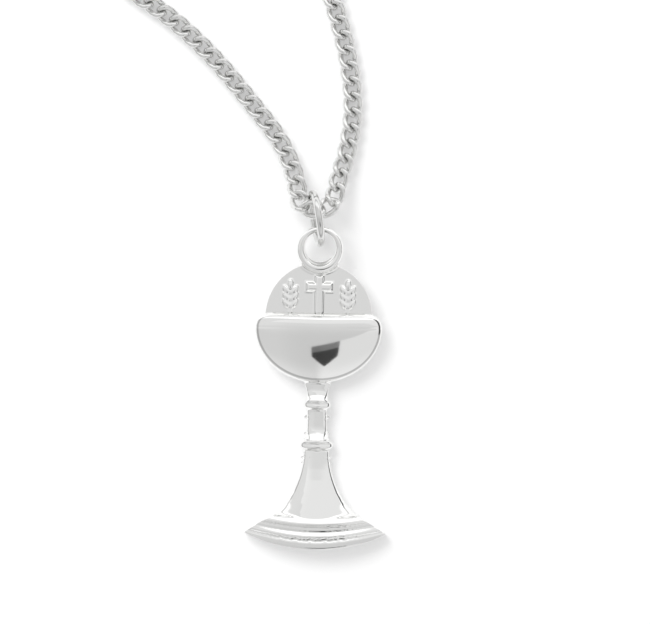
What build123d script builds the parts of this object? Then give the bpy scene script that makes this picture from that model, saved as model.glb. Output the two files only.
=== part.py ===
from build123d import *
import math
import os

# Chalice pendant on a curb chain: a die-struck charm, its jump ring, the chain and a spring-ring
# clasp. Millimetres. It lies flat: +Z up from the table, +Y from the charm's foot to the chain.
# The origin is on the table, midway along and across the charm with its jump ring.

# Charm: widths and heights are taken on its face, with heights counted from the foot's lowest point
foot_edge_y = -15.59
charm_pitch = 2.0
body_axis_depth = 0.45
cup_half_width = 5.53
cup_rim_height = 20.5
cup_widest_height = 19.2
cup_depth = 4.78
cup_rim_flat = 4.45
cup_bulge = 0.32
neck_half_width = 1.18
waist_half_width = 0.93
upper_knop_height = 12.53
upper_knop_half_width = 1.2
stem_half_width = 0.86
lower_knop_height = 9.0
lower_knop_half_width = 1.48
knop_bead_radius = 0.46
knop_skirt_drop = 0.15
neck_flare = 0.3
neck_sink = 0.6
waist_drop = 1.0
stem_flare_height = 1.5
stem_foot_drop = 0.45
stem_bulge = 0.75
cone_top_height = 9.0
cone_top_half_width = 1.05
cone_flare_radius = 8.65
cone_bulge = 0.52
foot_half_width = 6.2
foot_tip_height = 1.37
foot_shoulder_height = 2.86
foot_shoulder_half_width = 4.0
foot_dome_half_width = 6.7
foot_dome_height = 2.2
groove_depth = 0.17
ground_sink = 0.12
ground_top_radius = 30.0
foot_bead_rise = 0.05
foot_rim_top = 0.75
foot_rim_radius = 17.0
lower_bead_low = 0.86
lower_bead_low_radius = 19.0
lower_bead_top = 1.5
lower_bead_top_radius = 22.0
thin_bead_low = 1.62
thin_bead_low_radius = 23.0
thin_bead_top = 1.86
thin_bead_top_radius = 27.0
upper_band_low = 1.98
upper_band_radius = 28.0
cone_foot_sink = 0.35
host_radius = 4.63
host_centre_height = 20.29
host_thickness = 1.0
host_edge_radius = 0.15
host_cut_sink = 0.6
relief_height = 0.2
relief_edge_radius = 0.12
cross_bar = 0.6
cross_height = 3.6
cross_width = 2.1
cross_centre_rise = 1.5
cross_arm_rise = 2.3
ear_reach = 2.5
ear_stalk_width = 0.22
ear_stalk_height = 2.2
ear_stalk_rise = 0.9
ear_relief_share = 0.8
grain_half_width = 0.21
grain_half_length = 0.42
grain_reach = 0.36
grain_rise = 0.85
grain_step = 0.58
grain_lean = 30
ear_tip_rise = 2.45
eye_outer_radius = 2.065
eye_hole_radius = 1.32
eye_top_wall = 0.54
eye_thickness = 0.95
eye_lift = 0.38
eye_edge_radius = 0.24
eye_host_overlap = 0.93

# Jump ring: it stands on its edge in the eye and carries the chain
jump_ring_wire = 0.64
jump_ring_slack = 1.92
jump_ring_x = -0.36
jump_ring_y = 13.09
jump_ring_lean = 9.6
jump_ring_turn = 6.5

# Chain and its coil
chain_width = 1.8
coil_x = -12.5
coil_y = 48.5
outer_turn_radius = 13.0
inner_turn_radius = 7.45
layer_gap = 0.05
coil_corner = 0.85

# End links, end rings and clasp
end_link_length = 2.2
end_link_width = 1.7
end_link_wire = 0.45
end_link_height = 1.0
end_link_sink = 0.3
joining_ring_outer = 3.2
joining_ring_wire = 0.5
catch_ring_outer = 3.4
catch_ring_wire = 0.55
clasp_outer = 5.0
clasp_tube = 1.1
clasp_wall = 0.2
clasp_heading = 45.0
clasp_mouth_start = 20.0
clasp_mouth_end = 80.0
tongue_clearance = 0.03
tongue_travel = 60.0
tongue_seat = 4.0
tongue_length = 128.0
knob_place = 92.0
knob_stem = 0.3
knob_head = 0.75
knob_head_thickness = 0.36
knob_slot_clearance = 0.04
spring_wire = 0.17
spring_clearance = 0.03
spring_turns = 5
spring_length = 88.0
eyelet_outer = 1.9
eyelet_wire = 0.36
eyelet_height = 0.98

# The strand lies on the table, or in the coil's upper layer
chain_low = chain_width / 2
chain_high = chain_low + chain_width + layer_gap

# The strand's route by its corners: from the coil down the left side, through the jump ring and
# up the right side to the coil again, then each end's way from the coil to its end link
run_route = [
    (-25.0, 45.4, chain_low),
    (-24.0, 41.6, chain_low),
    (-21.2, 36.9, chain_low),
    (-17.3, 32.9, chain_low),
    (-13.3, 30.4, chain_low),
    (-9.55, 27.0, chain_low),
    (-6.4, 23.3, chain_low),
    (-3.45, 19.7, chain_low),
    (-2.15, 16.5, 1.15),
    (-1.9, 13.9, 2.25),
    (0.95, 13.85, 2.25),
    (1.45, 16.4, 1.2),
    (2.35, 19.3, chain_low),
    (2.75, 22.7, chain_low),
    (2.35, 26.4, chain_low),
    (1.35, 30.3, chain_low),
    (0.3, 33.3, chain_low),
    (0.35, 37.6, 0.95),
    (0.75, 41.9, 1.9),
    (0.62, 45.6, chain_high),
    (0.3, 49.3, chain_high),
]
tail_a_route = [
    (-4.65, 50.66, chain_low),
    (-4.41, 47.87, chain_low),
    (-5.33, 45.37, chain_low),
    (-7.2, 43.49, chain_low),
    (-9.7, 42.58, chain_low),
    (-12.35, 42.81, chain_low),
    (-14.17, 43.86, chain_low),
]
tail_b_route = [
    (-5.58, 45.33, chain_high),
    (-4.91, 48.26, chain_high),
    (-5.65, 51.1, 2.4),
    (-7.61, 53.29, 1.6),
    (-10.36, 54.31, 1.0),
    (-12.58, 54.0, chain_low),
]

os.makedirs("parts", exist_ok=True)


def hand_over(piece, label):
    piece.part.label = label
    export_step(piece.part, f"parts/{label}.step")


# ---- Charm: made flat on its back, with its long axis along +Y, then laid on the table ----

def turned_relief(profile, bulge):
    """A turned shape about the charm's long axis, flattened, with a flat back."""
    with BuildPart() as body:
        with BuildSketch(Plane.XY.offset(body_axis_depth)):
            add(profile.sketch)
        revolve(axis=Axis((0, 0, body_axis_depth), (0, 1, 0)))
        scale(by=(1, 1, bulge), about=(0, 0, body_axis_depth))
        split(bisect_by=Plane.XY)
    return body.part


def cup():
    rim_corner_height = cup_rim_height - cup_widest_height
    rim_corner_width = cup_half_width - cup_rim_flat
    with BuildSketch() as profile:
        with BuildLine():
            Line((0, cup_widest_height - cup_depth), (0, cup_rim_height))
            Line((0, cup_rim_height), (cup_rim_flat, cup_rim_height))
            EllipticalCenterArc(
                (cup_rim_flat, cup_widest_height),
                rim_corner_width,
                rim_corner_height,
                start_angle=0,
                arc_size=90,
            )
            EllipticalCenterArc(
                (0, cup_widest_height), cup_half_width, cup_depth, start_angle=-90, arc_size=90
            )
        make_face()
    return turned_relief(profile, cup_bulge)


def stem():
    neck_height = cup_widest_height - cup_depth
    neck_top = (neck_half_width + neck_flare, neck_height + neck_sink)
    upper_skirt = upper_knop_half_width - knop_bead_radius
    lower_skirt = lower_knop_half_width - knop_bead_radius
    stem_foot = lower_knop_height - stem_foot_drop
    with BuildSketch() as profile:
        with BuildLine():
            Line((0, stem_foot), (0, neck_top[1]))
            Line((0, neck_top[1]), neck_top)
            Spline(
                neck_top,
                (neck_half_width, neck_height),
                (waist_half_width, neck_height - waist_drop),
                (upper_skirt, upper_knop_height + knop_skirt_drop),
            )
            Line(
                (upper_skirt, upper_knop_height + knop_skirt_drop),
                (upper_skirt, upper_knop_height - knop_skirt_drop),
            )
            Spline(
                (upper_skirt, upper_knop_height - knop_skirt_drop),
                (stem_half_width, upper_knop_height - 3 * knop_skirt_drop),
                (stem_half_width, lower_knop_height + stem_flare_height),
                (lower_skirt, lower_knop_height + knop_skirt_drop),
            )
            Line(
                (lower_skirt, lower_knop_height + knop_skirt_drop),
                (lower_skirt, lower_knop_height - knop_skirt_drop),
            )
            Line((lower_skirt, lower_knop_height - knop_skirt_drop), (cone_top_half_width, stem_foot))
            Line((cone_top_half_width, stem_foot), (0, stem_foot))
        make_face()
        with Locations((upper_skirt, upper_knop_height), (lower_skirt, lower_knop_height)):
            Circle(knop_bead_radius)
    return turned_relief(profile, stem_bulge)


def cone():
    foot_height = foot_shoulder_height - cone_foot_sink
    drop = cone_top_height - foot_height
    flare = cone_flare_radius - math.sqrt(cone_flare_radius**2 - drop**2)
    foot_width = cone_top_half_width + flare
    with BuildSketch() as profile:
        with BuildLine():
            Line((0, foot_height), (0, cone_top_height))
            Line((0, cone_top_height), (cone_top_half_width, cone_top_height))
            RadiusArc(
                (cone_top_half_width, cone_top_height), (foot_width, foot_height), -cone_flare_radius
            )
            Line((foot_width, foot_height), (0, foot_height))
        make_face()
    return turned_relief(profile, cone_bulge)


def foot_outline():
    with BuildSketch() as outline:
        with BuildLine():
            ThreePointArc(
                (-foot_half_width, foot_tip_height), (0, 0), (foot_half_width, foot_tip_height)
            )
            Line(
                (foot_half_width, foot_tip_height), (foot_shoulder_half_width, foot_shoulder_height)
            )
            Line(
                (foot_shoulder_half_width, foot_shoulder_height),
                (-foot_shoulder_half_width, foot_shoulder_height),
            )
            Line(
                (-foot_shoulder_half_width, foot_shoulder_height),
                (-foot_half_width, foot_tip_height),
            )
        make_face()
    return outline.sketch


def foot_band(low, low_radius, top, top_radius, dome_height):
    """A band of the foot between two sagging arcs, domed across the foot's width."""
    with BuildPart() as band:
        with BuildSketch():
            add(foot_outline())
            with Locations((0, low + low_radius)):
                Circle(low_radius, mode=Mode.INTERSECT)
            if top < foot_shoulder_height:
                with Locations((0, top + top_radius)):
                    Circle(top_radius, mode=Mode.SUBTRACT)
        extrude(amount=2 * dome_height)
        with BuildSketch(Plane.XZ.offset(-foot_shoulder_height - 1)):
            Ellipse(foot_dome_half_width, dome_height)
        extrude(amount=foot_shoulder_height + 3, mode=Mode.INTERSECT)
    return band.part


def foot():
    edge_radius = (foot_half_width**2 + foot_tip_height**2) / (2 * foot_tip_height)
    ground = foot_dome_height - groove_depth
    bead = foot_dome_height + foot_bead_rise
    rim = foot_dome_height - foot_bead_rise
    top = foot_shoulder_height
    with BuildPart() as solid:
        add(foot_band(ground_sink, edge_radius, top, ground_top_radius, ground))
        add(foot_band(0, edge_radius, foot_rim_top, foot_rim_radius, rim))
        add(
            foot_band(
                lower_bead_low, lower_bead_low_radius, lower_bead_top, lower_bead_top_radius, bead
            )
        )
        add(foot_band(thin_bead_low, thin_bead_low_radius, thin_bead_top, thin_bead_top_radius, rim))
        add(foot_band(upper_band_low, upper_band_radius, top, ground_top_radius, foot_dome_height))
    return solid.part


def host():
    with BuildPart() as disc:
        with BuildSketch():
            with Locations((0, host_centre_height)):
                Circle(host_radius)
            with Locations((0, host_centre_height + host_radius - host_cut_sink)):
                Rectangle(2 * host_radius, 2 * host_radius, mode=Mode.INTERSECT)
        extrude(amount=host_thickness)
        fillet(disc.faces().sort_by(Axis.Z)[-1].edges().filter_by(GeomType.CIRCLE), host_edge_radius)
    return disc.part


def cross_relief():
    with BuildPart() as cross:
        with BuildSketch(Plane.XY.offset(host_thickness)):
            with Locations((0, cup_rim_height + cross_centre_rise)):
                Rectangle(cross_bar, cross_height)
            with Locations((0, cup_rim_height + cross_arm_rise)):
                Rectangle(cross_width, cross_bar)
        extrude(amount=relief_height)
        fillet(cross.faces().sort_by(Axis.Z)[-1].edges(), relief_edge_radius)
    return cross.part


def wheat_ear(side):
    with BuildPart() as ear:
        with BuildSketch(Plane.XY.offset(host_thickness)):
            with Locations((side * ear_reach, cup_rim_height + ear_stalk_rise)):
                Rectangle(ear_stalk_width, ear_stalk_height)
            with Locations((side * ear_reach, cup_rim_height + ear_tip_rise)):
                Ellipse(grain_half_width, grain_half_length)
            for row in range(3):
                height = cup_rim_height + grain_rise + grain_step * row
                for lean in (-1, 1):
                    with Locations((side * ear_reach + lean * grain_reach, height)):
                        Ellipse(grain_half_width, grain_half_length, rotation=-lean * grain_lean)
        extrude(amount=relief_height * ear_relief_share)
    return ear.part


def eye():
    centre_height = host_centre_height + host_radius + eye_outer_radius - eye_host_overlap
    hole_height = centre_height + eye_outer_radius - eye_hole_radius - eye_top_wall
    with BuildPart() as ring:
        with BuildSketch(Plane.XY.offset(eye_lift)):
            with Locations((0, centre_height)):
                Circle(eye_outer_radius)
            with Locations((0, hole_height)):
                Circle(eye_hole_radius, mode=Mode.SUBTRACT)
        extrude(amount=eye_thickness)
        fillet(ring.edges().filter_by(GeomType.CIRCLE), eye_edge_radius)
    return ring.part


with BuildPart() as flat_charm:
    add(host())
    add(cup())
    add(stem())
    add(cone())
    add(foot())
    add(eye())
    add(cross_relief())
    add(wheat_ear(-1))
    add(wheat_ear(1))

pitch = math.radians(charm_pitch)
charm_plane = Plane(
    origin=(0, foot_edge_y, 0), x_dir=(1, 0, 0), z_dir=(0, -math.sin(pitch), math.cos(pitch))
)
with BuildPart(charm_plane) as chalice_charm:
    add(flat_charm.part)
hand_over(chalice_charm, "chalice_charm")


# ---- Jump ring: one turn of round wire, soldered shut ----

def ring(plane, outer, wire):
    with BuildPart(plane) as turn:
        Torus((outer - wire) / 2, wire / 2)
    return turn


lean = math.radians(jump_ring_lean)
turn = math.radians(jump_ring_turn)
ring_along = Vector(-math.sin(lean), math.cos(lean), 0)
ring_across = Vector(math.cos(lean), math.sin(lean), 0)
ring_axis = ring_across * math.cos(turn) - Vector(0, 0, 1) * math.sin(turn)
jump_ring_outer = chain_width + jump_ring_slack + 2 * jump_ring_wire
jump_ring_height = jump_ring_wire / 2 + (jump_ring_outer - jump_ring_wire) / 2 * math.cos(turn)
jump_ring_plane = Plane(
    origin=(jump_ring_x, jump_ring_y, jump_ring_height), x_dir=ring_along, z_dir=ring_axis
)
jump_ring = ring(jump_ring_plane, jump_ring_outer, jump_ring_wire)
hand_over(jump_ring, "jump_ring")


# ---- Chain: a plain tube where the strand lies free, and one ring-shaped solid for the coil ----

def bend_radii(route):
    """The largest radius that each corner's two runs allow."""
    radii = []
    for before, corner, after in zip(route, route[1:], route[2:]):
        run_in = Vector(*corner) - Vector(*before)
        run_out = Vector(*after) - Vector(*corner)
        half_turn = math.radians(run_in.get_angle(run_out)) / 2
        radii.append(0.45 * min(run_in.length, run_out.length) / math.tan(half_turn))
    return radii


def strand(route, label):
    radii = bend_radii(route)
    with BuildPart() as tube:
        with BuildLine() as line:
            FilletPolyline(*route, radius=radii)
        path = line.wires()[0]
        with BuildSketch(Plane(origin=path @ 0, z_dir=path % 0)):
            Circle(chain_width / 2)
        sweep(path=path)
    full = math.pi * (chain_width / 2) ** 2 * path.length
    print(label, "radii", [round(radius, 1) for radius in radii])
    print(label, "length", round(path.length, 2), "volume share", round(tube.part.volume / full, 4))
    return tube


chain_run = strand(run_route, "chain_run")
hand_over(chain_run, "chain_run")
chain_tail_a = strand(tail_a_route, "chain_tail_a")
hand_over(chain_tail_a, "chain_tail_a")
chain_tail_b = strand(tail_b_route, "chain_tail_b")
hand_over(chain_tail_b, "chain_tail_b")

coil_width = outer_turn_radius - inner_turn_radius + chain_width
coil_height = 2 * chain_width + layer_gap
with BuildPart() as chain_coil:
    with BuildSketch(Plane.XZ.offset(-coil_y)):
        with Locations((coil_x + (outer_turn_radius + inner_turn_radius) / 2, coil_height / 2)):
            RectangleRounded(coil_width, coil_height, coil_corner)
    revolve(axis=Axis((coil_x, coil_y, 0), (0, 0, 1)))
hand_over(chain_coil, "chain_coil")


# ---- The chain's last links, with the ring that joins the clasp and the ring that it catches ----

def level_direction(route):
    """The way the strand's end points, taken level."""
    step = Vector(*route[-1]) - Vector(*route[-2])
    return Vector(step.X, step.Y, 0).normalized()


def end_link(route, label):
    ahead = level_direction(route)
    centre = Vector(*route[-1]) + ahead * (end_link_length / 2 - end_link_sink)
    link_plane = Plane(origin=(centre.X, centre.Y, end_link_height), x_dir=ahead, z_dir=(0, 0, 1))
    bend = (end_link_width - end_link_wire) / 2
    half_straight = (end_link_length - end_link_width) / 2
    with BuildPart() as link:
        with BuildLine(link_plane) as middle:
            Line((-half_straight, bend), (half_straight, bend))
            ThreePointArc((half_straight, bend), (half_straight + bend, 0), (half_straight, -bend))
            Line((half_straight, -bend), (-half_straight, -bend))
            ThreePointArc((-half_straight, -bend), (-half_straight - bend, 0), (-half_straight, bend))
        path = middle.wires()[0]
        with BuildSketch(Plane(origin=path @ 0, z_dir=path % 0)):
            Circle(end_link_wire / 2)
        sweep(path=path)
    hand_over(link, label)
    return centre


def standing_ring(link_centre, ahead, outer, wire, label):
    """A ring that stands on its edge and passes through the end link's hole."""
    middle_radius = (outer - wire) / 2
    rise = outer / 2 - end_link_height
    reach = math.sqrt(middle_radius**2 - rise**2)
    level = link_centre + ahead * reach
    centre = Vector(level.X, level.Y, outer / 2)
    plane = Plane(origin=centre, x_dir=ahead, z_dir=ahead.cross(Vector(0, 0, 1)))
    hand_over(ring(plane, outer, wire), label)
    return centre


ahead_a = level_direction(tail_a_route)
ahead_b = level_direction(tail_b_route)
link_centre_a = end_link(tail_a_route, "end_link_a")
link_centre_b = end_link(tail_b_route, "end_link_b")
joining_centre = standing_ring(
    link_centre_a, ahead_a, joining_ring_outer, joining_ring_wire, "joining_ring"
)
catch_centre = standing_ring(link_centre_b, ahead_b, catch_ring_outer, catch_ring_wire, "catch_ring")


# ---- Spring-ring clasp: made about the origin with its eyelet towards -X, then set in place ----

clasp_radius = (clasp_outer - clasp_tube) / 2
bore_radius = clasp_tube / 2 - clasp_wall
tongue_radius = bore_radius - tongue_clearance
eyelet_radius = (eyelet_outer - eyelet_wire) / 2
eyelet_reach = clasp_outer / 2 + eyelet_outer / 2 - eyelet_wire / 2


def bent_rod(radius, start, length):
    """A round rod bent to the clasp's circle, from the angle start, counter-clockwise."""
    with BuildPart() as rod:
        with BuildSketch(Plane.XZ.rotated((0, 0, start))):
            with Locations((clasp_radius, 0)):
                Circle(radius)
        revolve(axis=Axis.Z, revolution_arc=length)
    return rod.part


def slot_cutter():
    width = knob_stem + 2 * knob_slot_clearance
    end_angle = math.degrees(width / clasp_outer)
    with BuildPart() as cutter:
        with BuildSketch(Plane.XZ.rotated((0, 0, knob_place - end_angle))):
            with Locations((clasp_radius + clasp_tube / 2, 0)):
                Rectangle(clasp_tube, width)
        revolve(axis=Axis.Z, revolution_arc=tongue_travel + 2 * end_angle)
    return cutter.part


body_turn = 360 - (clasp_mouth_end - clasp_mouth_start)
with BuildPart() as flat_clasp_body:
    add(bent_rod(clasp_tube / 2, clasp_mouth_end, body_turn))
    add(bent_rod(bore_radius, clasp_mouth_end, body_turn), mode=Mode.SUBTRACT)
    add(slot_cutter(), mode=Mode.SUBTRACT)

tongue_start = clasp_mouth_start - tongue_seat
with BuildPart() as flat_tongue:
    add(bent_rod(tongue_radius, tongue_start, tongue_length))

knob_direction = Vector(math.cos(math.radians(knob_place)), math.sin(math.radians(knob_place)), 0)
with BuildPart() as flat_knob:
    with BuildSketch(Plane(origin=knob_direction * clasp_radius, z_dir=knob_direction)):
        Circle(knob_stem / 2)
    extrude(amount=clasp_tube / 2 + 0.1)
    with BuildSketch(
        Plane(origin=knob_direction * (clasp_outer / 2 + 0.08), z_dir=knob_direction)
    ):
        Circle(knob_head / 2)
    extrude(amount=knob_head_thickness)
    knob_top = flat_knob.faces().sort_by(Axis((0, 0, 0), tuple(knob_direction)))[-1]
    fillet(knob_top.edges(), 0.15)
    add(bent_rod(tongue_radius, knob_place - 20, 40), mode=Mode.SUBTRACT)

with BuildPart() as flat_eyelet:
    with Locations((-eyelet_reach, 0, 0)):
        Torus(eyelet_radius, eyelet_wire / 2)
    add(bent_rod(clasp_tube / 2, 150, 60), mode=Mode.SUBTRACT)


def spring_line():
    """Points of a helix that is bent round with the clasp's tube."""
    start = tongue_start + tongue_length + math.degrees(spring_wire / clasp_radius)
    helix_radius = bore_radius - spring_clearance - spring_wire / 2
    steps = spring_turns * 12
    points = []
    for step in range(steps + 1):
        along = math.radians(start + spring_length * step / steps)
        around = math.radians(30 * step)
        reach = clasp_radius + helix_radius * math.cos(around)
        points.append(
            (reach * math.cos(along), reach * math.sin(along), helix_radius * math.sin(around))
        )
    return points


with BuildPart() as flat_spring:
    with BuildLine() as helix:
        coil_line = Spline(*spring_line())
    with BuildSketch(Plane(origin=coil_line @ 0, z_dir=coil_line % 0)):
        Circle(spring_wire / 2)
    sweep(path=coil_line, is_frenet=True)

tube_far_reach = eyelet_reach + clasp_radius
clasp_tilt = math.asin((eyelet_height - clasp_tube / 2) / tube_far_reach)
heading = math.radians(clasp_heading)
clasp_along = Vector(
    math.cos(heading) * math.cos(clasp_tilt),
    math.sin(heading) * math.cos(clasp_tilt),
    -math.sin(clasp_tilt),
)
clasp_normal = Vector(
    math.cos(heading) * math.sin(clasp_tilt),
    math.sin(heading) * math.sin(clasp_tilt),
    math.cos(clasp_tilt),
)
joining_middle_radius = (joining_ring_outer - joining_ring_wire) / 2
eyelet_rise = joining_ring_outer / 2 - eyelet_height
swivel_point = joining_centre + ahead_a * math.sqrt(joining_middle_radius**2 - eyelet_rise**2)
swivel_point = Vector(swivel_point.X, swivel_point.Y, eyelet_height)
clasp_plane = Plane(
    origin=swivel_point + clasp_along * eyelet_reach, x_dir=clasp_along, z_dir=clasp_normal
)

clasp_pieces = {
    "clasp_body": flat_clasp_body,
    "clasp_tongue": flat_tongue,
    "clasp_thumb_knob": flat_knob,
    "clasp_eyelet": flat_eyelet,
    "clasp_spring": flat_spring,
}
for label, flat_piece in clasp_pieces.items():
    with BuildPart(clasp_plane) as piece:
        add(flat_piece.part)
    hand_over(piece, label)

print("jump ring centre", jump_ring_plane.origin, "axis", jump_ring_plane.z_dir)
print("link centres", link_centre_a, link_centre_b, "ahead", ahead_a, ahead_b)
print("joining ring", joining_centre, "catch ring", catch_centre)
print("swivel", swivel_point, "clasp centre", clasp_plane.origin, "axis", clasp_plane.z_dir)
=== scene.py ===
import math
import bpy
import numpy as np
from mathutils import Matrix, Vector
from mathutils.bvhtree import BVHTree


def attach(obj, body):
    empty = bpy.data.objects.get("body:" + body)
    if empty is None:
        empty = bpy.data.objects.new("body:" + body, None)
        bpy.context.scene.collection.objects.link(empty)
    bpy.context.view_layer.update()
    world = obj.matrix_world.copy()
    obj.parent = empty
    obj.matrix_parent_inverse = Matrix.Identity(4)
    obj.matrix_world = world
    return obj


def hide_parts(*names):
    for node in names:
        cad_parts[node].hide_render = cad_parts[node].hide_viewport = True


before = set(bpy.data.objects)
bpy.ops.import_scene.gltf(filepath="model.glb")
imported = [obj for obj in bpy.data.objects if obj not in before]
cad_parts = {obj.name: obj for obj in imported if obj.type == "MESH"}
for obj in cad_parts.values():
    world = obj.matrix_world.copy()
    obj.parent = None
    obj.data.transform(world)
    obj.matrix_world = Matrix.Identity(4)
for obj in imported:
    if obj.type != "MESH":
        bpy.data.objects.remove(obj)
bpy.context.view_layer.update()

# ---- Camera: a long lens straight above the table, turned a degree so that the charm leans ----
camera_data = bpy.data.cameras.new("camera_above")
camera_data.lens = 287.0
camera_data.sensor_width = 36.0
camera_data.clip_start = 0.02
camera_data.clip_end = 20.0
camera = bpy.data.objects.new("camera_above", camera_data)
camera.location = (0.00053, 0.00500, 0.4515)
camera.rotation_euler = (0.0, 0.0, math.radians(1.04))
bpy.context.scene.collection.objects.link(camera)
bpy.context.scene.camera = camera
bpy.context.scene.view_settings.view_transform = "Standard"


# ---- Curb chain: twisted oval links of round silver wire, each soldered shut through the last ----
# Drawn sterling wire, linked and twisted by machine, then tumbled bright. It lies slack on the
# table, runs down through the jump ring and back, and its spare length is coiled out of sight.
chain_width = 0.0018
link_wire = 0.00053
link_pitch = 0.001363
link_reach = (link_pitch + link_wire) / 2
link_bend = (chain_width - link_wire) / 2
link_twist = math.radians(-50)
coil_centre = Vector((-0.0125, 0.0485, 0.0))
coil_step = 22.5  # degrees between the points of a turn
spline_pull = 0.981  # a spline runs this far inside the points of a turn
lying = 0.00058  # heights of the strand's middle: on the table, and on the turns below it
upper = 0.00166


def coil_turns(height, start_radius, end_radius, start_angle, end_angle):
    """Control points of a flat spiral, sixteen to each turn, both ends left out."""
    count = round(abs(end_angle - start_angle) / coil_step)
    points = []
    for step in range(1, count):
        share = step / count
        angle = math.radians(start_angle + (end_angle - start_angle) * share)
        radius = (start_radius + (end_radius - start_radius) * share) / spline_pull
        points.append((
            coil_centre.x + radius * math.cos(angle),
            coil_centre.y + radius * math.sin(angle),
            height,
        ))
    return points


first_tail = [
    (-0.01417, 0.04386, 0.00090),
    (-0.01235, 0.04281, 0.00060),
    (-0.00970, 0.04258, lying),
    (-0.00720, 0.04349, lying),
    (-0.00533, 0.04537, lying),
    (-0.00441, 0.04787, lying),
    (-0.00465, 0.05066, lying),
]
neck_run = [
    (-0.02500, 0.04540, lying),
    (-0.02400, 0.04160, lying),
    (-0.02120, 0.03690, lying),
    (-0.01730, 0.03290, lying),
    (-0.01330, 0.03040, lying),
    (-0.00955, 0.02700, lying),
    (-0.00640, 0.02330, lying),
    (-0.00345, 0.01970, lying),
    (-0.00215, 0.01650, 0.00085),
    (-0.00190, 0.01390, 0.00200),
    (0.00095, 0.01385, 0.00200),
    (0.00145, 0.01640, 0.00090),
    (0.00235, 0.01930, lying),
    (0.00275, 0.02270, lying),
    (0.00235, 0.02640, lying),
    (0.00135, 0.03030, lying),
    (0.00030, 0.03330, lying),
    (0.00035, 0.03760, 0.00060),
    (0.00075, 0.04190, 0.00120),
    (0.00062, 0.04560, upper),
    (0.00030, 0.04930, upper),
]
last_tail = [
    (-0.00558, 0.04533, upper),
    (-0.00491, 0.04826, upper),
    (-0.00565, 0.05110, 0.00150),
    (-0.00761, 0.05329, 0.00110),
    (-0.01036, 0.05431, 0.00080),
    (-0.01258, 0.05400, 0.00090),
]
strand_points = (
    first_tail
    + coil_turns(lying, 0.0083, 0.01290, 15.4, 913.9)
    + neck_run
    + coil_turns(upper, 0.01295, 0.00765, 3.6, 1055.4)
    + last_tail
)

strand_curve = bpy.data.curves.new("strand_line", "CURVE")
strand_curve.dimensions = "3D"
strand_curve.resolution_u = 12
strand_spline = strand_curve.splines.new("NURBS")
strand_spline.points.add(len(strand_points) - 1)
for point, place in zip(strand_spline.points, strand_points):
    point.co = (*place, 1.0)
strand_spline.order_u = 3
strand_spline.use_endpoint_u = True
strand_object = bpy.data.objects.new("strand_line", strand_curve)
bpy.context.scene.collection.objects.link(strand_object)
bpy.context.view_layer.update()
strand_mesh = bpy.data.meshes.new_from_object(
    strand_object.evaluated_get(bpy.context.evaluated_depsgraph_get())
)
strand_path = [vertex.co.copy() for vertex in strand_mesh.vertices]
bpy.data.objects.remove(strand_object)
strand_lengths = [0.0]
for before, after in zip(strand_path, strand_path[1:]):
    strand_lengths.append(strand_lengths[-1] + (after - before).length)
strand_length = strand_lengths[-1]


def along_strand(distance):
    """The point on the strand's line at that distance from its first end."""
    low, high = 0, len(strand_lengths) - 1
    while high - low > 1:
        middle = (low + high) // 2
        if strand_lengths[middle] <= distance:
            low = middle
        else:
            high = middle
    span = strand_lengths[high] - strand_lengths[low]
    return strand_path[low].lerp(strand_path[high], (distance - strand_lengths[low]) / span)


def deselect():
    for other in bpy.context.selected_objects:
        other.select_set(False)


def select_only(piece):
    deselect()
    piece.select_set(True)
    bpy.context.view_layer.objects.active = piece


def curb_link(name, around, across):
    """One link: a ring of wire drawn out to an oval, then twisted about its long axis."""
    deselect()
    bpy.ops.mesh.primitive_torus_add(
        major_segments=around, minor_segments=across,
        major_radius=link_bend, minor_radius=link_wire / 2,
    )
    link = bpy.context.object
    link.name = name
    for side in (-1, 1):
        bpy.ops.object.mode_set(mode="EDIT")
        bpy.ops.mesh.select_all(action="DESELECT")
        bpy.ops.object.mode_set(mode="OBJECT")
        for vertex in link.data.vertices:
            vertex.select = side * vertex.co.x > link_bend * 0.02
        bpy.ops.object.mode_set(mode="EDIT")
        bpy.ops.transform.translate(value=(side * (link_reach - link_bend), 0, 0))
        bpy.ops.object.mode_set(mode="OBJECT")
    twist = link.modifiers.new("twist", "SIMPLE_DEFORM")
    twist.deform_method = "TWIST"
    twist.deform_axis = "X"
    twist.angle = 2 * link_twist * (link_reach + link_wire / 2) / link_reach
    bpy.ops.object.modifier_apply(modifier=twist.name)
    return link


# Links past put_away_line lie in the coil and are drawn with fewer sides. A link points the way
# that the strand runs within aim_reach of its middle.
near_link = curb_link("near_link", 32, 12)
stored_link = curb_link("stored_link", 12, 4)
put_away_line = 0.0345
aim_reach = 0.0006
end_gap = 0.000525
link_count = round((strand_length - 2 * end_gap) / link_pitch) + 1
link_step = (strand_length - 2 * end_gap) / (link_count - 1)
chain_points = []
chain_faces = []
for number in range(link_count):
    distance = end_gap + link_step * number
    middle = along_strand(distance)
    reach = min(aim_reach, distance, strand_length - distance)
    forward = (along_strand(distance + reach) - along_strand(distance - reach)).normalized()
    sideways = Vector((0, 0, 1)).cross(forward).normalized()
    upward = forward.cross(sideways)
    turned = Matrix((forward, sideways, upward)).transposed()
    pattern = near_link if middle.y < put_away_line else stored_link
    first = len(chain_points)
    chain_points += [middle + turned @ vertex.co for vertex in pattern.data.vertices]
    chain_faces += [[first + index for index in face.vertices] for face in pattern.data.polygons]
chain_mesh = bpy.data.meshes.new("curb_chain")
chain_mesh.from_pydata(chain_points, [], chain_faces)
chain_mesh.update()
curb_chain = bpy.data.objects.new("curb_chain", chain_mesh)
bpy.context.scene.collection.objects.link(curb_chain)
bpy.data.objects.remove(near_link)
bpy.data.objects.remove(stored_link)
select_only(curb_chain)
bpy.ops.object.shade_smooth()


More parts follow.
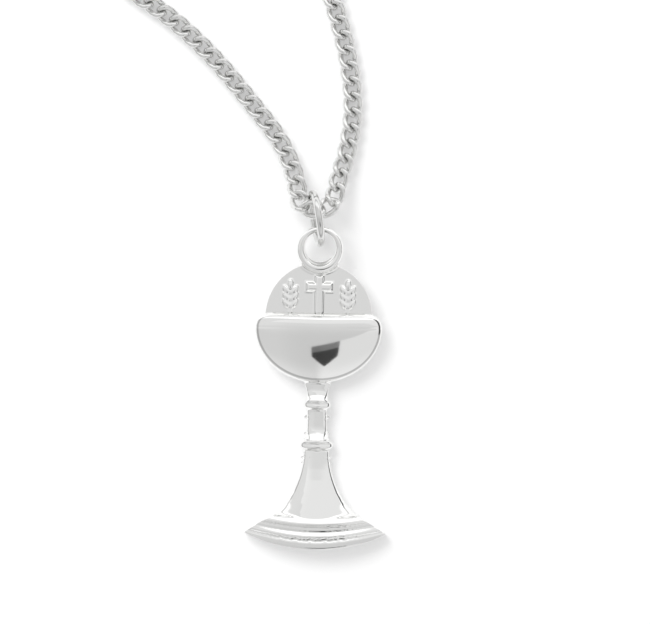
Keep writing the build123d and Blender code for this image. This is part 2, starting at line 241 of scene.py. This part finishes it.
def linear_colour(code):
    """A linear colour, with alpha, from an sRGB hex code."""
    channels = [int(code[place:place + 2], 16) / 255 for place in (1, 3, 5)]
    linear = [c / 12.92 if c <= 0.04045 else ((c + 0.055) / 1.055) ** 2.4 for c in channels]
    return linear + [1.0]


def add_node(material, kind, settings=None, inputs=None, links=None):
    """Adds a node, with its settings, its inputs' values and the outputs that feed them."""
    node = material.node_tree.nodes.new(kind)
    for name, value in (settings or {}).items():
        setattr(node, name, value)
    for name, value in (inputs or {}).items():
        node.inputs[name].default_value = value
    for name, output in (links or {}).items():
        material.node_tree.links.new(output, node.inputs[name])
    return node


def bare_material(name):
    material = bpy.data.materials.new(name)
    material.use_nodes = True
    material.node_tree.nodes.clear()
    return material


# Tumbled silver wire: a mirror, a little duller in patches 0.4 mm across where the links rubbed
wire_silver = bare_material("tumbled_silver_wire")
wire_place = add_node(wire_silver, "ShaderNodeTexCoord")
wire_noise = add_node(
    wire_silver, "ShaderNodeTexNoise", {}, {"Scale": 2500.0, "Detail": 2.0},
    {"Vector": wire_place.outputs["Object"]},
)
wire_rough = add_node(
    wire_silver, "ShaderNodeMapRange", {}, {"To Min": 0.03, "To Max": 0.12},
    {"Value": wire_noise.outputs["Fac"]},
)
wire_shader = add_node(
    wire_silver, "ShaderNodeBsdfPrincipled", {},
    {"Base Color": linear_colour("#e7e7e6"), "Metallic": 1.0},
    {"Roughness": wire_rough.outputs["Result"]},
)
add_node(wire_silver, "ShaderNodeOutputMaterial", {}, {}, {"Surface": wire_shader.outputs["BSDF"]})
chain_mesh.materials.append(wire_silver)
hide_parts("chain_run", "chain_coil", "chain_tail_a", "chain_tail_b")
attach(curb_chain, "chain")


# ---- Chalice charm: one die-struck piece with a round host standing in the cup and a cast eye ----
# Sterling silver, struck in one die from a thick blank, its eye cast on, then buffed by hand so
# that every edge is soft. It hangs by its eye on the jump ring and lies on its flat back.
# Sizes are in millimetres in the die's own frame: x across, s up from the foot, z off the back.
pitch = math.radians(2.0)
foot_edge = -15.59
skin_grid = 0.075
edge_height = 0.45
stem_low, stem_high, neck_high = 7.4, 14.2, 16.5
flare_low, flare_high = 2.35, 3.7
cup_middle, cup_depth, cup_half_width, cup_bulge_height = 19.2, 4.78, 5.53, 1.77
rim_height, rim_half_width = 20.5, 5.2
host_middle, host_plane, host_tilt = 20.29, 1.0, 0.055
eye_middle, eye_bend, eye_wire, eye_plane = 26.08, 1.69, 0.41, 0.9
eye_base, eye_solid_rise = 0.6, 0.73
cross_rise, stalk_rise, grain_rise = 0.26, 0.10, 0.2


def to_die(points):
    """From the table's frame, in metres, to the die's, in millimetres, flat on its back."""
    x, y, z = points[:, 0] * 1000, points[:, 1] * 1000 - foot_edge, points[:, 2] * 1000
    s = y * math.cos(pitch) + z * math.sin(pitch)
    return np.stack([x, s, z * math.cos(pitch) - y * math.sin(pitch)], 1)


def from_die(points):
    x, s, z = points[:, 0], points[:, 1], points[:, 2]
    y = s * math.cos(pitch) - z * math.sin(pitch)
    return np.stack([x, y + foot_edge, z * math.cos(pitch) + s * math.sin(pitch)], 1) / 1000


def mesh_values(mesh, name):
    flat = np.empty(len(mesh.vertices) * 3)
    mesh.vertices.foreach_get(name, flat)
    return flat.reshape(-1, 3)


def set_points(mesh, points):
    mesh.vertices.foreach_set("co", points.ravel())
    mesh.update()


def buff(piece, name, passes):
    """Takes the sharpness off all edges, as one or more goes over the mop do."""
    soften = piece.modifiers.new(name, "SMOOTH")
    soften.factor = 0.5
    soften.iterations = passes
    bpy.ops.object.modifier_apply(modifier=soften.name)


charm_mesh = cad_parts["chalice_charm"].data.copy()
charm_mesh.name = "struck_charm"
charm_mesh.materials.clear()
struck_charm = bpy.data.objects.new("struck_charm", charm_mesh)
bpy.context.scene.collection.objects.link(struck_charm)
set_points(charm_mesh, to_die(mesh_values(charm_mesh, "co")))
select_only(struck_charm)
bpy.ops.object.mode_set(mode="EDIT")
bpy.ops.mesh.select_all(action="SELECT")
bpy.ops.mesh.remove_doubles(threshold=0.0005)
bpy.ops.object.mode_set(mode="OBJECT")
remesh = struck_charm.modifiers.new("even_skin", "REMESH")
remesh.mode = "VOXEL"
remesh.voxel_size = skin_grid
bpy.ops.object.modifier_apply(modifier=remesh.name)
buff(struck_charm, "buffed_edges", 2)

skin = mesh_values(charm_mesh, "co")
normals = mesh_values(charm_mesh, "normal")
skin_tree = BVHTree.FromPolygons(
    [tuple(point) for point in skin], [tuple(face.vertices) for face in charm_mesh.polygons]
)


def top_at(x, s):
    hit = skin_tree.ray_cast(Vector((x, s, 9.0)), Vector((0, 0, -1)))
    return hit[0].z if hit[0] is not None else 0.0


def bell(reach, width):
    """Weights of a bell curve that add up to one, for evening out a line."""
    weights = np.exp(-0.5 * (np.arange(-reach, reach + 1) / width) ** 2)
    return weights / weights.sum()


def evened(values, weights):
    return np.convolve(np.pad(values, len(weights) // 2, mode="edge"), weights, mode="valid")


def smooth(value, low, high):
    share = np.clip((value - low) / (high - low), 0, 1)
    return share * share * (3 - 2 * share)


def profile(points, at, blur=0.03):
    """Depth along the charm's axis through those points, with its corners rounded."""
    step = 0.01
    fine = np.arange(-0.5, 21.0, step)
    depth = np.interp(fine, [p[0] for p in points], [p[1] for p in points])
    reach = int(4 * blur / step)
    weights = np.exp(-0.5 * (np.arange(-reach, reach + 1) * step / blur) ** 2)
    return np.interp(at, fine, evened(depth, weights / weights.sum()))


# The outline's half-width at each height is read from the skin, then turned true along the stem
x, s, z = skin[:, 0], skin[:, 1], skin[:, 2]
row_step = 0.05
rows = np.arange(0.0, 20.6, row_step)
bins = np.clip(np.round(s / row_step).astype(int), 0, len(rows) - 1)
widths = np.zeros(len(rows))
np.maximum.at(widths, bins, np.where(s < 20.6, np.abs(x), 0))
widths = evened(np.maximum(widths, 0.3), bell(4, 0.7))
stem_outline = [
    (8.3, 1.08), (8.5, 1.07), (8.56, 1.12), (8.66, 1.28), (8.8, 1.40), (9.0, 1.46), (9.2, 1.41),
    (9.35, 1.30), (9.5, 1.14), (9.7, 1.00), (10.0, 0.91), (10.6, 0.86), (11.4, 0.85),
    (12.0, 0.87), (12.08, 0.92), (12.18, 1.04), (12.33, 1.15), (12.53, 1.19), (12.73, 1.15),
    (12.9, 1.06), (13.05, 0.99), (13.3, 0.95), (13.5, 0.94), (13.8, 0.97),
]
stem_low_width, stem_high_width, flare_low_width, flare_high_width = np.interp(
    [stem_low, stem_high, flare_low, flare_high], rows, widths
)
turned_stem = np.interp(
    rows,
    [stem_low, *[place for place, width in stem_outline], stem_high],
    [stem_low_width, *[width for place, width in stem_outline], stem_high_width],
)
flare = np.interp(
    rows, [flare_low, 2.7, 3.1, flare_high], [flare_low_width, 4.05, 3.45, flare_high_width]
)
outline = np.where((rows > stem_low) & (rows < stem_high), turned_stem, widths)
outline = np.where((rows > flare_low) & (rows < flare_high), flare, outline)
outline = evened(outline, bell(4, 1.6))
on_outline = (s > 2.3) & (s < 14.3)
x *= np.where(on_outline, np.interp(s, rows, outline / widths), 1.0)
half = np.interp(s, rows, outline) + 0.02

# Stem and cup: round in section, so that they fall away evenly to the edge of the striking
stem_line = [
    (2.6, 1.93), (3.2, 1.76), (4.0, 1.55), (5.0, 1.36), (6.0, 1.21), (7.0, 1.09), (8.0, 0.99),
    (8.5, 0.94), (8.56, 0.96), (8.68, 1.12), (8.82, 1.27), (8.94, 1.29), (9.08, 1.21),
    (9.16, 1.22), (9.26, 1.40), (9.36, 1.44), (9.48, 1.40), (9.9, 1.15), (10.25, 0.99),
    (10.6, 0.95), (12.08, 0.92), (12.2, 1.06), (12.32, 1.22), (12.42, 1.25), (12.62, 1.17),
    (12.70, 1.17), (12.80, 1.32), (12.88, 1.36), (12.98, 1.33), (13.35, 1.10), (13.7, 0.96),
    (13.9, 0.94), (14.4, 0.93), (15.2, 0.9),
]
edge_reach = 1.03  # the section meets its base this far past the outline
neck_width = np.minimum(half, 1.1 + 0.35 * smooth(s, 14.0, 14.8))
neck_half = np.where(s > 13.9, neck_width, half)
stem_section = np.sqrt(np.clip(1 - (x / (neck_half * edge_reach)) ** 2, 0, 1))
stem_height = edge_height + (profile(stem_line, s) - edge_height) * stem_section
drop = np.clip((cup_middle - s) / (cup_depth * edge_reach), 0, 1)
cup_span = np.where(s < cup_middle, cup_half_width, np.minimum(half, cup_half_width)) * edge_reach
cup_round = np.sqrt(np.clip(1 - (x / cup_span) ** 2 - drop**2, 0, 1))
rim_reach = 0.8 + 0.7 * np.clip(1 - (x / rim_half_width) ** 2, 0, 1)
rim_turn = np.clip((s - (rim_height - rim_reach)) / rim_reach, 0, 1)
cup_height = edge_height + cup_bulge_height * cup_round * np.clip(1 - rim_turn**4, 0, 1) ** 0.25
cup_fillet = 0.12
onto_cup = np.clip(0.5 + 0.5 * (cup_height - stem_height) / cup_fillet, 0, 1)
body = np.where(
    s > stem_high,
    stem_height + (cup_height - stem_height) * onto_cup + cup_fillet * onto_cup * (1 - onto_cup),
    stem_height,
)
body = np.where(s > neck_high, cup_height, body)

# The foot's mouldings sag with its outline; the groove above the rim is cut by hand and wanders
foot_half_width = 6.7
sag = 0.034 - 0.0173 * np.clip(s / 2.9, 0, 1)
down = s - sag * x**2
wander = (
    0.030 * np.sin(5.1 * x + 0.6) + 0.022 * np.sin(9.7 * x + 2.1) + 0.014 * np.sin(17.3 * x + 0.3)
) * smooth(-np.abs(x), -5.2, -3.0)
foot_line = [
    (-0.5, 1.6), (0.0, 1.76), (0.05, 1.83), (0.10, 1.845), (0.60, 1.84), (0.70, 1.74),
    (0.80, 1.74), (0.92, 1.92), (1.05, 2.04), (1.14, 2.05), (1.48, 1.86), (1.52, 1.80),
    (1.56, 1.88), (1.88, 1.87), (1.93, 1.84), (1.99, 1.90), (2.12, 2.12), (2.20, 2.14),
    (2.30, 2.10), (2.85, 1.80), (3.4, 1.7),
]
near_groove = smooth(down, 0.55, 0.7) * (1 - smooth(down, 1.0, 1.15))
foot_axis = profile(foot_line, down + wander * near_groove, 0.025)
foot_section = np.sqrt(np.clip(1 - (x / foot_half_width) ** 2, 0, 1))
foot_height = edge_height + (foot_axis - edge_height) * foot_section
onto_cone = smooth(down, 2.6, 2.95)
body = np.where(s < 4.0, foot_height + (body - foot_height) * onto_cone, body)


# Raised marks on the host: a plain cross between two ears of wheat
def bar(middle_x, middle_s, wide, tall, soft):
    inside = np.minimum(wide / 2 - np.abs(x - middle_x), tall / 2 - np.abs(s - middle_s))
    return smooth(inside, -soft, soft)


def grain(middle_x, middle_s, lean):
    over, up = x - middle_x, s - middle_s
    along = up * math.cos(lean) + over * math.sin(lean)
    across = over * math.cos(lean) - up * math.sin(lean)
    return np.clip(1 - (across / 0.26) ** 2 - (along / 0.5) ** 2, 0, 1) ** 0.5


relief = np.maximum(bar(0, 22.0, 0.7, 3.6, 0.2), bar(0, 22.8, 2.2, 0.68, 0.2)) * cross_rise
for side in (-1, 1):
    stalk = side * 2.5
    ear = bar(stalk, 21.4, 0.22, 2.4, 0.1) * stalk_rise
    ear = np.maximum(ear, grain(stalk, 22.98, 0) * grain_rise)
    for pair in range(3):
        for lean in (-1, 1):
            leaning = grain(stalk + lean * 0.36, 21.35 + 0.58 * pair, lean * math.radians(30))
            ear = np.maximum(ear, leaning * grain_rise)
    relief = np.maximum(relief, ear)

# The face's height is set over the whole charm; a wall's points keep their share of it
inward = 0.08
top = np.array([
    top_at(a - inward * n[0], b - inward * n[1]) for a, b, n in zip(x, s, normals)
])
steep = np.abs(normals[:, 2]) < 0.4
share = np.where(steep, np.clip(z / np.maximum(top, 0.2) / 0.9, 0, 1), 1.0)
front = (z > 0.12) & (normals[:, 2] > -0.3)
from_host = np.hypot(x, s - host_middle)
from_eye = np.hypot(x, s - eye_middle)
host_face = host_plane - host_tilt * np.clip(s - rim_height, -1, 5) + relief
body_top = np.where((s > 19.0) & (from_host < 4.75), np.maximum(body, host_face), body)
new_z = np.where(front & (s < 20.7), body_top * share, z)
on_host = (s >= 20.7) & (from_host < 4.7) & (from_eye > 1.2) & front
new_z = np.where(on_host, host_face * share, new_z)

# The eye is round wire that runs out into the host in a soft fillet
eye_arc = np.sqrt(np.clip(1 - ((from_eye - eye_bend) / eye_wire) ** 2, 0, 1))
eye_dome = eye_plane + eye_wire * eye_arc
on_eye = (s > 23.2) & (from_eye < 2.2) & front & (z > eye_base)
risen = eye_base + (z - eye_base) / eye_solid_rise * (eye_dome - eye_base)
new_z = np.where(on_eye, risen, new_z)
eye_skirt = 2.075
eye_fillet = 0.22
joined_eye = (
    (s > 23.2) & (from_eye >= eye_bend) & (from_eye < 2.6) & (from_host < 4.6) & front & ~steep
)
eye_side = np.where(from_eye < eye_skirt, eye_dome, eye_plane - 1.2 * (from_eye - eye_skirt))
onto_host = np.clip(0.5 + 0.5 * (host_face - eye_side) / eye_fillet, 0, 1)
filleted = eye_side + (host_face - eye_side) * onto_host + eye_fillet * onto_host * (1 - onto_host)
new_z = np.where(joined_eye, filleted, new_z)
skin[:, 2] = new_z
set_points(charm_mesh, skin)
buff(struck_charm, "last_buff", 1)
set_points(charm_mesh, from_die(mesh_values(charm_mesh, "co")))
bpy.ops.object.shade_smooth()

# Hand-buffed silver: a mirror with waves about 2.4 mm long from the mop, at most 0.02 mm deep, and
# hairlines along its strokes. Real hairlines are finer; these are as coarse as they need to show.
charm_silver = bare_material("hand_buffed_silver")
charm_place = add_node(charm_silver, "ShaderNodeTexCoord")
mop_wave = add_node(
    charm_silver, "ShaderNodeTexNoise", {}, {"Scale": 420.0, "Detail": 1.0},
    {"Vector": charm_place.outputs["Object"]},
)
stroke_place = add_node(
    charm_silver, "ShaderNodeMapping", {},
    {"Rotation": (0.0, 0.0, 0.6), "Scale": (9.0, 0.7, 1.0)},
    {"Vector": charm_place.outputs["Object"]},
)
hairlines = add_node(
    charm_silver, "ShaderNodeTexNoise", {}, {"Scale": 2600.0, "Detail": 3.0},
    {"Vector": stroke_place.outputs["Vector"]},
)
charm_rough = add_node(
    charm_silver, "ShaderNodeMapRange", {}, {"To Min": 0.035, "To Max": 0.1},
    {"Value": hairlines.outputs["Fac"]},
)
charm_bump = add_node(
    charm_silver, "ShaderNodeBump", {}, {"Strength": 0.25, "Distance": 0.00002},
    {"Height": mop_wave.outputs["Fac"]},
)
charm_shader = add_node(
    charm_silver, "ShaderNodeBsdfPrincipled", {},
    {"Base Color": linear_colour("#f6f6f5"), "Metallic": 1.0},
    {"Roughness": charm_rough.outputs["Result"], "Normal": charm_bump.outputs["Normal"]},
)
add_node(
    charm_silver, "ShaderNodeOutputMaterial", {}, {}, {"Surface": charm_shader.outputs["BSDF"]}
)
charm_mesh.materials.append(charm_silver)
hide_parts("chalice_charm")
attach(struck_charm, "charm")


# ---- Jump ring, end links, end rings and clasp: small findings of silver wire and bent tube ----
# Sterling silver, cut and closed with pliers or pressed, and soldered. The jump ring carries the
# charm on the chain; the clasp closes the necklace and catches the ring at the chain's other end.

# Pressed and tumbled silver: the same mirror, with faint marks of the pliers 0.7 mm apart
ring_silver = bare_material("pressed_and_tumbled_silver")
ring_place = add_node(ring_silver, "ShaderNodeTexCoord")
ring_marks = add_node(
    ring_silver, "ShaderNodeTexNoise", {}, {"Scale": 1400.0, "Detail": 3.0},
    {"Vector": ring_place.outputs["Object"]},
)
ring_rough = add_node(
    ring_silver, "ShaderNodeMapRange", {}, {"To Min": 0.04, "To Max": 0.14},
    {"Value": ring_marks.outputs["Fac"]},
)
ring_bump = add_node(
    ring_silver, "ShaderNodeBump", {}, {"Strength": 0.12, "Distance": 0.00002},
    {"Height": ring_marks.outputs["Fac"]},
)
ring_shader = add_node(
    ring_silver, "ShaderNodeBsdfPrincipled", {},
    {"Base Color": linear_colour("#dededd"), "Metallic": 1.0},
    {"Roughness": ring_rough.outputs["Result"], "Normal": ring_bump.outputs["Normal"]},
)
add_node(ring_silver, "ShaderNodeOutputMaterial", {}, {}, {"Surface": ring_shader.outputs["BSDF"]})


def dress(node, material):
    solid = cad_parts[node]
    solid.data.materials.clear()
    solid.data.materials.append(material)


for fitting in (
    "jump_ring", "end_link_a", "end_link_b", "joining_ring", "catch_ring",
    "clasp_body", "clasp_tongue", "clasp_thumb_knob", "clasp_eyelet",
):
    dress(fitting, ring_silver)


# ---- Clasp spring: a fine coil of round wire inside the clasp's tube ----
# Hard-drawn steel, wound on a mandrel and left bare. It sits in the tube behind the tongue.

# Drawn spring steel: greyer and duller than the silver, with marks of the die 0.17 mm apart
spring_steel = bare_material("drawn_spring_steel")
spring_place = add_node(spring_steel, "ShaderNodeTexCoord")
spring_marks = add_node(
    spring_steel, "ShaderNodeTexNoise", {}, {"Scale": 6000.0, "Detail": 2.0},
    {"Vector": spring_place.outputs["Object"]},
)
spring_rough = add_node(
    spring_steel, "ShaderNodeMapRange", {}, {"To Min": 0.22, "To Max": 0.4},
    {"Value": spring_marks.outputs["Fac"]},
)
spring_shader = add_node(
    spring_steel, "ShaderNodeBsdfPrincipled", {},
    {"Base Color": linear_colour("#a9a8a4"), "Metallic": 1.0},
    {"Roughness": spring_rough.outputs["Result"]},
)
add_node(
    spring_steel, "ShaderNodeOutputMaterial", {}, {}, {"Surface": spring_shader.outputs["BSDF"]}
)
dress("clasp_spring", spring_steel)


# ---- Table and light: a sheet of white card in a pale cloth tent, lit by one large soft box ----
# The card is lit from below as well, which its own faint glow stands for.
bpy.ops.mesh.primitive_plane_add(size=1.6, location=(0, 0, 0))
table = bpy.context.object
table.name = "white_table"
table_card = bare_material("white_card")
table_shader = add_node(
    table_card, "ShaderNodeBsdfPrincipled", {}, {
        "Base Color": linear_colour("#dddddd"), "Roughness": 0.9,
        "Emission Color": linear_colour("#ffffff"), "Emission Strength": 0.26,
    },
)
add_node(table_card, "ShaderNodeOutputMaterial", {}, {}, {"Surface": table_shader.outputs["BSDF"]})
table.data.materials.append(table_card)

# The tent is drawn by the slope, east and north, of a face that mirrors it straight up. Each row
# has a name, then an operation and its two values, or RAMP, a source, its two ends and the values
# there. A name stands for the row above that has it.
tent_rows = [
    ("above", "ADD", "z", 1.02),
    ("east", "DIVIDE", "x", "above"),
    ("north", "DIVIDE", "y", "above"),
    ("east_2", "MULTIPLY", "east", "east"),
    ("north_2", "MULTIPLY", "north", "north"),
    ("slope_2", "ADD", "east_2", "north_2"),
    ("slope", "SQRT", "slope_2"),
    # the roof, and the front cloth that hangs from its slanting edge
    ("slant", "MULTIPLY", "east", 0.27),
    ("past_edge", "SUBTRACT", "north", "slant"),
    ("roof", "RAMP", "north", -0.095, 0.02, 0.62, 0.73),
    ("front", "RAMP", "past_edge", -0.152, -0.144, 1.0, 0.0),
    ("right", "RAMP", "east", -0.03, 0.05, 0.0, 0.15),
    ("front_right", "MULTIPLY", "front", "right"),
    ("left", "RAMP", "east", -0.3, -0.05, 0.05, 0.0),
    ("low_front", "RAMP", "north", -0.6, -0.25, 0.1, 0.0),
    ("with_front", "ADD", "roof", "front_right"),
    ("with_left", "ADD", "with_front", "left"),
    ("with_low", "ADD", "with_left", "low_front"),
    # the pale north panel and the white window below it
    ("skew", "MULTIPLY", "north", 0.97),
    ("across", "SUBTRACT", "east", "skew"),
    ("panel_side", "RAMP", "across", -0.41, -0.39, 0.0, 0.12),
    ("panel_end", "RAMP", "north", 0.04, 0.1, 0.0, 1.0),
    ("panel", "MULTIPLY", "panel_side", "panel_end"),
    ("window", "RAMP", "north", 0.34, 0.44, 0.0, 0.5),
    ("with_panel", "ADD", "with_low", "panel"),
    ("cloth", "ADD", "with_panel", "window"),
    # the gap between the tent and the table, darkest on the east side
    ("gap_in", "RAMP", "slope", 0.70, 0.73, 0.0, 1.0),
    ("gap_out", "RAMP", "slope", 0.86, 0.90, 1.0, 0.0),
    ("gap", "MULTIPLY", "gap_in", "gap_out"),
    ("east_in", "RAMP", "east", 0.2, 0.3, 0.0, 0.93),
    ("east_low", "RAMP", "north", -0.16, -0.10, 0.0, 1.0),
    ("east_high", "RAMP", "north", 0.45, 0.6, 1.0, 0.0),
    ("east_part", "MULTIPLY", "east_in", "east_low"),
    ("east_gap", "MULTIPLY", "east_part", "east_high"),
    ("gap_depth", "MAXIMUM", "east_gap", 0.4),
    ("gap_dark", "MULTIPLY", "gap", "gap_depth"),
    # the tent's open side: a dark doorway that narrows to a point, under a paler lintel
    ("off_middle", "SUBTRACT", "east", 0.038),
    ("to_side", "ABSOLUTE", "off_middle"),
    ("side_wall", "MULTIPLY", "to_side", 13.3),
    ("taper", "MULTIPLY", "to_side", 7.3),
    ("from_top", "ADD", "north", 0.14),
    ("height", "DIVIDE", "from_top", 0.225),
    ("point", "SUBTRACT", "taper", "height"),
    ("outside", "MAXIMUM", "side_wall", "point"),
    ("doorway", "RAMP", "outside", 0.95, 1.02, 1.0, 0.0),
    ("lintel", "RAMP", "past_edge", -0.20, -0.19, 0.93, 0.74),
    ("door", "MULTIPLY", "doorway", "front"),
    ("door_dark", "MULTIPLY", "door", "lintel"),
    ("dark", "MAXIMUM", "gap_dark", "door_dark"),
    ("light_left", "SUBTRACT", 1.0, "dark"),
    ("level", "MULTIPLY", "cloth", "light_left"),
]
world = bpy.data.worlds.new("pale_tent")
world.use_nodes = True
world.node_tree.nodes.clear()
sky = add_node(world, "ShaderNodeTexCoord")
sky_parts = add_node(world, "ShaderNodeSeparateXYZ", {}, {}, {0: sky.outputs["Generated"]})
tent = {name.lower(): sky_parts.outputs[name] for name in ("X", "Y", "Z")}
for name, kind, *values in tent_rows:
    if kind == "RAMP":
        source, low, high, at_low, at_high = values
        row_node = add_node(
            world, "ShaderNodeMapRange", {"interpolation_type": "SMOOTHSTEP"},
            {"From Min": low, "From Max": high, "To Min": at_low, "To Max": at_high},
            {"Value": tent[source]},
        )
        tent[name] = row_node.outputs["Result"]
    else:
        fixed = {place: value for place, value in enumerate(values) if isinstance(value, float)}
        fed = {place: tent[value] for place, value in enumerate(values) if isinstance(value, str)}
        row_node = add_node(world, "ShaderNodeMath", {"operation": kind}, fixed, fed)
        tent[name] = row_node.outputs["Value"]
background = add_node(
    world, "ShaderNodeBackground", {}, {"Color": (1, 1, 1, 1)}, {"Strength": tent["level"]}
)
add_node(world, "ShaderNodeOutputWorld", {}, {}, {"Surface": background.outputs["Background"]})
bpy.context.scene.world = world

# The soft box hangs to the upper left and points at the charm; the silver doesn't mirror it
box_place = Vector((-0.26, 0.27, 0.33))
key_box = bpy.data.lights.new("key_soft_box", "AREA")
key_box.shape = "RECTANGLE"
key_box.size = 0.30
key_box.size_y = 0.30
key_box.energy = 1.6
key_object = bpy.data.objects.new("key_soft_box", key_box)
key_object.location = box_place
key_object.rotation_euler = (-box_place).to_track_quat("-Z", "Y").to_euler()
key_object.visible_glossy = False
bpy.context.scene.collection.objects.link(key_object)
